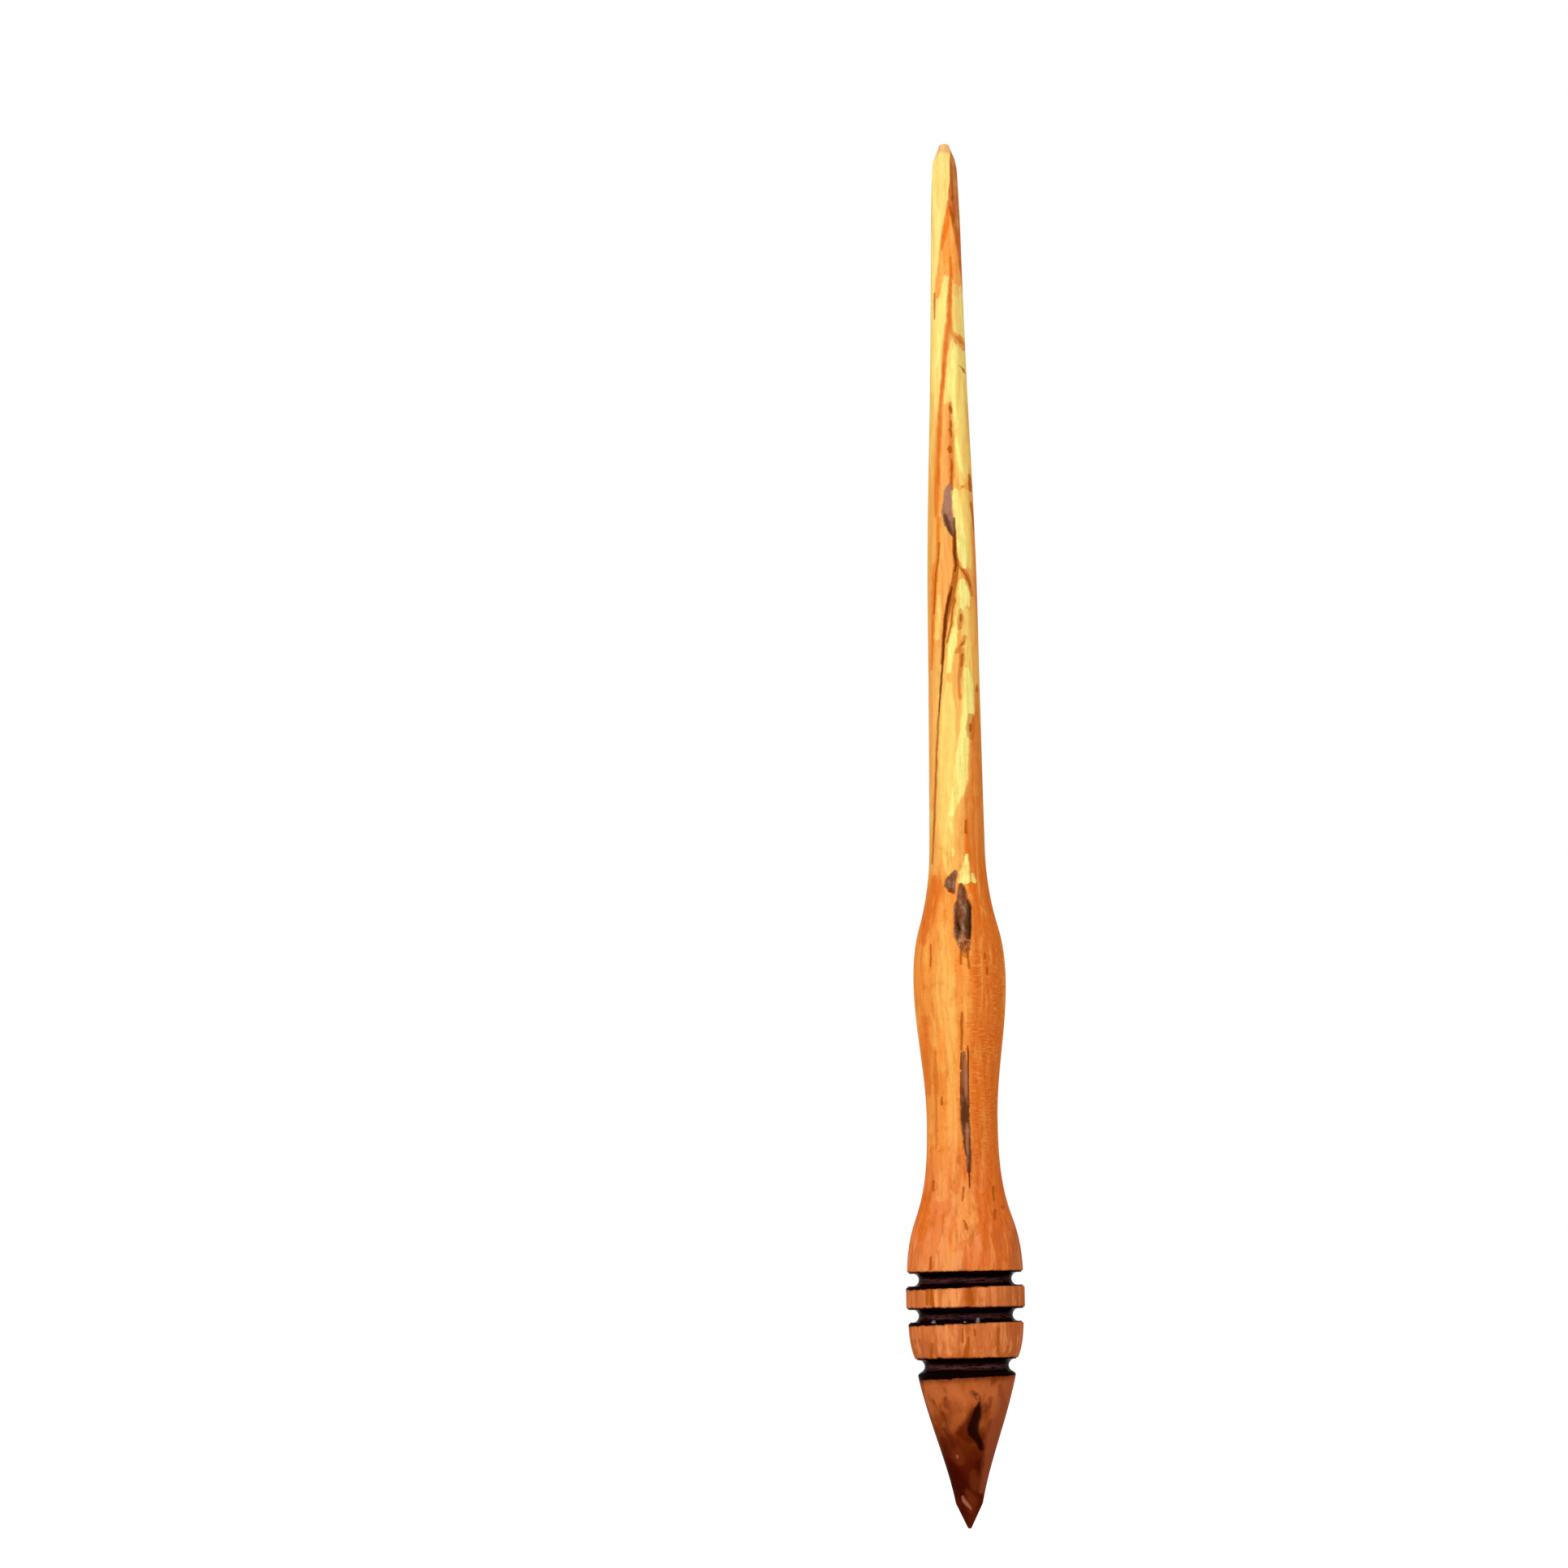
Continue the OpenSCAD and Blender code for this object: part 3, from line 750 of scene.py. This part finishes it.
# strokes that follow one another up the spindle share a lane, which one colour ramp holds as two edges
def lanesOf(layer):
    reach, lanes = layer["soft"] + ramps["spare"], []
    for spots in sorted(spotsOf(points) for points in layer["strokes"]):
        for lane in lanes:
            apart = lane[-1][0] + reach < spots[0][0] - reach
            if apart and spots[-1][0] - lane[0][0] < ramps["rise"] and len(lane) < ramps["stops"]:
                break
        else:
            lane = []
            lanes.append(lane)
        first, last = spots[0], spots[-1]
        lane += [(first[0] - reach, first[1], -reach)] + spots + [(last[0] + reach, last[1], -reach)]
    return lanes


# one layer of the figure as a mask over the place sideways and the height
def layerGroup(name):
    layer, span = figure[name], ramps["span"]
    group = bpy.data.node_groups.new(name, "ShaderNodeTree")
    for label in ("side", "height"):
        group.interface.new_socket(label, in_out="INPUT", socket_type="NodeSocketFloat")
    group.interface.new_socket("mask", in_out="OUTPUT", socket_type="NodeSocketFloat")
    board = Board(group)
    side = board.add("NodeGroupInput", {}, [])
    across = side * (1 / span) + 0.5
    inside = None
    for lane in lanesOf(layer):
        low, high = lane[0][0], lane[-1][0]
        stops = [
            ((z - low) / (high - low), ((x - half) / span + 0.5, (x + half) / span + 0.5, 0, 1))
            for z, x, half in lane
        ]
        up = board.add("ShaderNodeMapRange", {}, [side.out(1), low, high, 0, 1])
        edges = board.add("ShaderNodeValToRGB", {"stops": stops}, [up])
        left = board.add("ShaderNodeSeparateColor", {}, [edges])
        one = (across - left).maths("MINIMUM", left.out(1) - across)
        inside = one if inside is None else inside.maths("MAXIMUM", one)
    soft = layer["soft"] / span
    board.add("NodeGroupOutput", {}, [board.smooth(inside, -soft, soft)])
    return group


def layerMask(board, name, side, height):
    return board.add("ShaderNodeGroup", {"node_tree": layerGroup(name)}, [side, height])


def paint(name):
    material = bpy.data.materials.new(name)
    material.use_nodes = True
    return material, Board(material.node_tree)


# the noises of both finishes: how often they change in a millimetre, across and up, then their detail
# and roughness
grains = {
    "turnBack": ((0.2, 0.2, 0.12), 2, 0.5),
    "jag": ((1.3, 1.3, 0.6), 4, 0.65),
    "wave": ((0.9, 0.9, 0.5), 2, 0.5),
    "sway": ((0.25, 0.25, 0.16), 2, 0.5),
    "slowSway": ((0.1, 0.1, 0.018), 2, 0.5),
    "fine": ((3.2, 3.2, 0.12), 3, 0.6),
    "hair": ((7, 7, 1.2), 2, 0.6),
    "streak": ((0.8, 0.8, 0.035), 4, 0.62),
    "cloud": ((0.32, 0.32, 0.16), 3, 0.6),
    "blotch": ((0.5, 0.5, 0.4), 3, 0.6),
    "lathe": ((0.7, 0.7, 6.5), 2, 0.5),
    "flow": ((0.95, 0.95, 0.14), 3, 0.55),
    "dapple": ((0.42, 0.42, 0.2), 2, 0.5),
    "mottle": ((1, 1, 0.5), 4, 0.62),
    "coatEdge": ((0.7, 0.7, 0.7), 4, 0.7),
    "coatStreak": ((0.35, 0.35, 5), 3, 0.6),
    "coatLump": ((1.3, 1.3, 1.3), 3, 0.55),
}

# heights between which a change of the wood comes on, upwards or downwards
zones = {
    "aboveCone": (28.5, 31),
    "bellyFoot": (60, 72),
    "bellyTop": (112, 100),
    "flare": (64, 50),
    "clouded": (28, 60),
    "jaggedCone": (40, 20),
    "brightShaft": (55, 90),
    "pinkTip": (251.8, 252.6),
    "deepGrain": (170, 60),
    "freckled": (150, 112),
    "copperCone": (13, 21),
    "fleckedTop": (109, 105.5),
    "fleckedFoot": (98, 102),
    "lilacPatch": (184, 192),
    "rustySlot": (96, 88),
    "smoothCone": (28, 8),
}

# the tones of the ground from the point up; the darkening from sienna to chestnut at the cone's top, from 26
# to 28, is a painted shade below the lower cove
drifts = [
    (0, "bark"), (4, "umber"), (12, "umber"), (16, "bark"), (20.5, "chestnut"), (24, "sienna"),
    (26, "sienna"), (28, "chestnut"), (29.5, "chestnut"), (31, "copper"), (43, "copper"), (48, "clay"),
    (62, "clay"), (72, "amber"), (118, "amber"), (130, "honey"), (150, "honey"), (163, "tan"),
    (186, "tan"), (197, "honey"), (212, "sap"), (254, "sap"),
]
backShift = 27  # the back's figure lies this far below the front's


def spaltedWood():
    material, board = paint("spaltedWood")
    here = board.here()
    x = board.add("ShaderNodeSeparateXYZ", {}, [here])
    y, z = x.out(1), x.out(2)
    # the back carries the same figure, set lower on the shaft
    back = board.smooth(y + (board.grain(here, *grains["turnBack"]) - 0.5) * 2, 0.5, 0.9)
    side = x * (1 - back * 0.2) + back * 0.5
    jag = (board.grain(here, *grains["jag"]) - 0.5) * 0.9
    wavy = z + (board.grain(here, *grains["wave"]) - 0.5) * 1.6
    lowered = wavy + back * backShift

    # a layer's mask, with its edges frayed
    def frayed(name, height):
        return layerMask(board, name, side + jag * figure[name]["ragged"], height)

    # growth layers lie across X, so they are lines on the front and loops on the sides
    sway = board.grain(here, *grains["sway"]) + board.grain(here, *grains["slowSway"]) * 4
    rings = board.smooth(((x + sway * 2.2) * 4.4).maths("SINE"), -0.2, 1)
    fine = board.grain(here, *grains["fine"])
    hair = board.grain(here, *grains["hair"])
    streak = board.grain(here, *grains["streak"])
    cloud = board.grain(here, *grains["cloud"])
    blotch = board.grain(here, *grains["blotch"])
    lathe = board.grain(here, *grains["lathe"])
    aboveCone = board.smooth(z, *zones["aboveCone"])
    belly = board.smooth(z, *zones["bellyFoot"]) * board.smooth(z, *zones["bellyTop"])

    length = cadHigh.z * metre
    stops = [(at / length, tone[name]) for at, name in drifts]
    drift = z + (cloud - 0.5) * 14 * (board.smooth(z, *zones["clouded"]) * 0.7 + 0.3)
    drift = drift + jag * board.smooth(z, *zones["jaggedCone"])
    colour = board.add("ShaderNodeValToRGB", {"stops": stops}, [drift * (1 / length)])
    light = board.mix(board.smooth(z, *zones["brightShaft"]), tone["blush"], tone["glow"])
    colour = board.mix(board.smooth(cloud, 0.5, 0.68) * 0.3 * aboveCone, colour, light)
    colour = board.mix(board.smooth(z + jag, *zones["pinkTip"]) * 0.7, colour, tone["tipPink"])

    # the figure, painted in this order, thinner where the wood is streaked; sienna and part of russet are
    # painted shade, part of glow painted highlight
    uneven = board.smooth(streak, 0.3, 0.5) * 0.3 + board.smooth(blotch, 0.35, 0.6) * 0.2 + 0.5
    stainsAndShade = ["ochre", "sienna", "tan", "salmon", "apricot", "russet", "tangerine"]
    for name in stainsAndShade + ["butter", "glow", "flame"]:
        # apricot and russet lie on the front only; russet is partly a painted shade of the tip's right facet
        frontOnly = name in ("apricot", "russet")
        mask = frayed(name, wavy if frontOnly else lowered)
        if frontOnly:
            mask = mask * board.smooth(y, 1.6, 1)
        pigment = light if name == "glow" else tone[name]
        colour = board.mix(mask * uneven * figure[name]["cover"], colour, pigment)

    # the darker and lighter bands of the grain, stronger where the wood is stained deeper
    deep = (board.smooth(z, *zones["deepGrain"]) * 0.25 + 0.3) * aboveCone
    colour = board.mix(board.smooth(streak, 0.5, 0.34) * deep, colour, tone["shade"], "MULTIPLY")
    colour = board.mix(rings * 0.26 * aboveCone, colour, tone["shade"], "MULTIPLY")
    colour = board.mix(board.smooth(streak, 0.54, 0.7) * 0.35 * aboveCone, colour, light)
    chatter = belly * (board.smooth(x, -2, 3) * 0.7 + 0.3) * board.smooth(blotch, 0.4, 0.55)
    colour = board.mix(board.smooth(lathe, 0.56, 0.68) * chatter * 0.45, colour, light)
    colour = board.mix(board.smooth(lathe, 0.46, 0.36) * chatter * 0.7, colour, tone["shade"], "MULTIPLY")
    freckle = board.smooth(blotch + hair * 0.25, 0.56, 0.44) * board.smooth(z, *zones["freckled"])
    colour = board.mix(freckle * aboveCone * 0.5, colour, tone["shade"], "MULTIPLY")

    # the cone is dappled, and the grain flows wider on the flare and the rings
    cone = 1 - aboveCone
    flow = board.grain(here, *grains["flow"])
    dapple = board.grain(here, *grains["dapple"])
    flare = board.smooth(z, *zones["flare"]) * aboveCone
    dapples = board.smooth(dapple, 0.5, 0.66) * cone * board.smooth(z, *zones["copperCone"])
    colour = board.mix(dapples * 0.35, colour, tone["copper"])
    colour = board.mix(board.smooth(dapple + flow * 0.15, 0.54, 0.42) * cone * 0.5, colour, tone["umber"])
    colour = board.mix(board.smooth(flow, 0.48, 0.36) * flare * 0.6, colour, tone["sienna"])
    colour = board.mix(board.smooth(flow, 0.53, 0.66) * flare * 0.55, colour, light)
    fibres = fine * (0.4 - (flare + cone) * 0.18) + (flare + cone) * 0.09
    colour = board.mix(1.0, colour, 0.68 + fibres + hair * 0.22, "MULTIPLY")

    # the dark marks and the cone's painted side light (sheen low down, shade at the top right), of which the
    # cone's keep their height all the way round
    for name in ("rust", "brown", "umber", "soot", "coneRimLight", "ember"):
        height = lowered if name in ("rust", "brown") else z
        colour = board.mix(frayed(name, height) * figure[name]["cover"], colour, tone[name])
    cracks = frayed("line", lowered)
    colour = board.mix(cracks * figure["line"]["cover"], colour, tone["line"])

    # the ash patches are dark and flecked on the belly, lilac up the shaft and rusty in the slot below
    mottle = board.grain(here, *grains["mottle"])
    ash = layerMask(board, "ash", side + jag * hair, lowered)
    flecked = board.smooth(lowered, *zones["fleckedTop"]) * board.smooth(lowered, *zones["fleckedFoot"])
    ash = ash * (1 - flecked * board.smooth(hair + blotch * 0.3, 0.61, 0.7))
    ashTone = board.mix(board.smooth(mottle, 0.36, 0.62), tone["line"], tone["ash"])
    lilac = board.smooth(z + mottle * 8, *zones["lilacPatch"]) * board.smooth(hair, 0.15, 0.45)
    ashTone = board.mix(lilac, ashTone, tone["lilac"])
    ashTone = board.mix(board.smooth(z, *zones["rustySlot"]) * 0.75, ashTone, tone["fissure"])
    ashTone = board.mix(board.smooth(mottle + hair * 0.3, 0.73, 0.84) * 0.8, ashTone, tone["ashLight"])
    colour = board.mix(ash * figure["ash"]["cover"], colour, ashTone)
    # crevice and char are marks of the wood; the last layer is painted highlight
    for name in ("crevice", "char", "paintedGlint"):
        mask = frayed(name, z + (lowered - z) * aboveCone)
        colour = board.mix(mask * figure[name]["cover"], colour, tone[name])

    # the coat of the coves has crept a little over their edges
    edge = None
    for key in coveKeys:
        under = x * coves["tilt"] + (coves[key]["low"] - coves[key]["creep"]) - z
        past = under.maths("MAXIMUM", z - coves[key]["top"])
        edge = past if edge is None else edge.maths("MINIMUM", past)
    edge = edge - (board.grain(here, *grains["coatEdge"]) - 0.46) * 0.7
    black = 1 - board.smooth(edge, 0.02, 0.14)
    # a darker band along the black's edges, the finish soaked in; wider on the cone's top, where it is
    # painted shade below the lower cove
    colour = board.mix((1 - board.smooth(edge, 0.08, 0.4 + cone * 0.8)) * 0.5, colour, tone["umber"])
    colour = board.mix(black, colour, tone["coat"])

    smoother = board.smooth(z, *zones["smoothCone"])
    rough = 0.5 + (fine - 0.5) * 0.16 - ash * 0.1 - black * 0.16 - smoother * 0.15
    relieved = fine * 0.016 + hair * 0.01 + lathe * belly * 0.02 - cracks * 0.08 - ash * mottle * 0.04
    bump = board.add("ShaderNodeBump", {}, {"Strength": 0.6, "Distance": 0.0006, "Height": relieved})
    shader = board.add("ShaderNodeBsdfPrincipled", {}, {
        "Base Color": colour, "Roughness": rough, "Normal": bump, "Specular IOR Level": 0.0015,
    })
    board.add("ShaderNodeOutputMaterial", {}, [shader])
    return material


def blackCoat():
    material, board = paint("blackCoat")
    here = board.here()
    x = board.add("ShaderNodeSeparateXYZ", {}, [here])
    z = x.out(2)
    streaks = board.grain(here, *grains["coatStreak"])
    lumps = board.grain(here, *grains["coatLump"])
    # the middle of each cove carries a painted sheen, a paler band in place of a reflection
    paintedSheen = None
    for key in coveKeys:
        band = board.smooth(abs(z - (coves[key]["low"] + coves["width"] * 0.42)), 0.75, 0.1)
        paintedSheen = band if paintedSheen is None else paintedSheen.maths("MAXIMUM", band)
    paintedSheen = paintedSheen * board.smooth(streaks + lumps * 0.3, 0.52, 0.74)
    # the coves' sides towards plus and minus X get a little of that painted sheen too
    colour = board.mix(paintedSheen + board.smooth(abs(x), 7.4, 9.6) * 0.15, tone["coat"], tone["coatSheen"])
    # the beads are real lumps in the bump, and their grey is a painted glint, on the front only
    beadsWithGlint = layerMask(board, "beadGlint", x + (lumps - 0.5) * 0.3, z) * board.smooth(x.out(1), 0, -1)
    colour = board.mix(beadsWithGlint * figure["beadGlint"]["cover"], colour, tone["beadGlint"])
    relieved = lumps + streaks * 0.4 + beadsWithGlint
    bump = board.add("ShaderNodeBump", {}, {"Strength": 0.35, "Distance": 0.0002, "Height": relieved})
    shader = board.add("ShaderNodeBsdfPrincipled", {}, {
        "Base Color": colour, "Roughness": 0.1 + lumps * 0.08, "Normal": bump, "Specular IOR Level": 0.0015,
        "Specular Tint": swatch(255, 200, 200),
    })
    board.add("ShaderNodeOutputMaterial", {}, [shader])
    return material


spindle.data.materials.append(spaltedWood())
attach(spindle, "root")
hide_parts("spindle_body")
coatFinish = blackCoat()
for coat, key in zip(coats, coveKeys):
    coat.data.materials.append(coatFinish)
    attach(coat, "root")
    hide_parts(coves[key]["node"])
print("finishes on")

# the white room, in metres
room = {
    "floor": 3.0,  # half of its width
    "ambient": 0.62,
    "glow": 0.75,  # of the floor as the camera sees it, which keeps it white but for the shadow
    "lampAim": (0, 0, 0.12),
    "key": {"at": (-0.6, -1.6, 0.9), "size": 0.9, "watts": 15},
    "fill": {"at": (1.1, -1.2, 0.3), "size": 0.9, "watts": 1.5},
    "eye": (-0.0315, -2.0, 0.042),
    "aim": (-0.0315, 0.0, 0.1368),
    "lens": 250.8,
    "farthest": 50,
}


def lamp(name, settings):
    light = bpy.data.lights.new(name, "AREA")
    light.energy = settings["watts"]
    light.size = settings["size"]
    holder = bpy.data.objects.new(name, light)
    holder.location = settings["at"]
    way = Vector(room["lampAim"]) - Vector(settings["at"])
    holder.rotation_euler = way.to_track_quat("-Z", "Y").to_euler()
    bpy.context.scene.collection.objects.link(holder)


def paleFloor():
    bm = bmesh.new()
    bmesh.ops.create_grid(bm, x_segments=1, y_segments=1, size=room["floor"] * metre)
    floor = finishMesh(bm, "floor")
    material, board = paint("paleFloor")
    diffuse = board.add("ShaderNodeBsdfDiffuse", {}, {"Color": swatch(240, 240, 240)})
    strength = board.shown() * room["glow"]
    glow = board.add("ShaderNodeEmission", {}, {"Color": (1, 1, 1, 1), "Strength": strength})
    both = board.add("ShaderNodeAddShader", {}, [diffuse, glow])
    board.add("ShaderNodeOutputMaterial", {}, [both])
    floor.data.materials.append(material)


def whiteRoom():
    world = bpy.data.worlds.new("room")
    world.use_nodes = True
    board = Board(world.node_tree)
    bounce = board.add("ShaderNodeBackground", {}, {"Color": (1, 1, 1, 1), "Strength": room["ambient"]})
    plain = board.add("ShaderNodeBackground", {}, {"Color": (1, 1, 1, 1), "Strength": 1})
    both = board.add("ShaderNodeMixShader", {}, [board.shown(), bounce, plain])
    board.add("ShaderNodeOutputWorld", {}, [both])
    bpy.context.scene.world = world


def photoCamera():
    lens = bpy.data.cameras.new("camera")
    lens.lens = room["lens"]
    lens.clip_end = room["farthest"]
    camera = bpy.data.objects.new("camera", lens)
    camera.location = room["eye"]
    camera.rotation_mode = "QUATERNION"
    look = (Vector(room["aim"]) - Vector(room["eye"])).to_track_quat("-Z", "Y")
    camera.rotation_quaternion = look @ Quaternion((0, 0, 1), -photo["lean"])
    bpy.context.scene.collection.objects.link(camera)
    bpy.context.scene.camera = camera


paleFloor()
whiteRoom()
lamp("key", room["key"])
lamp("fill", room["fill"])
photoCamera()
bpy.context.scene.view_settings.view_transform = "Standard"
print("room lit")
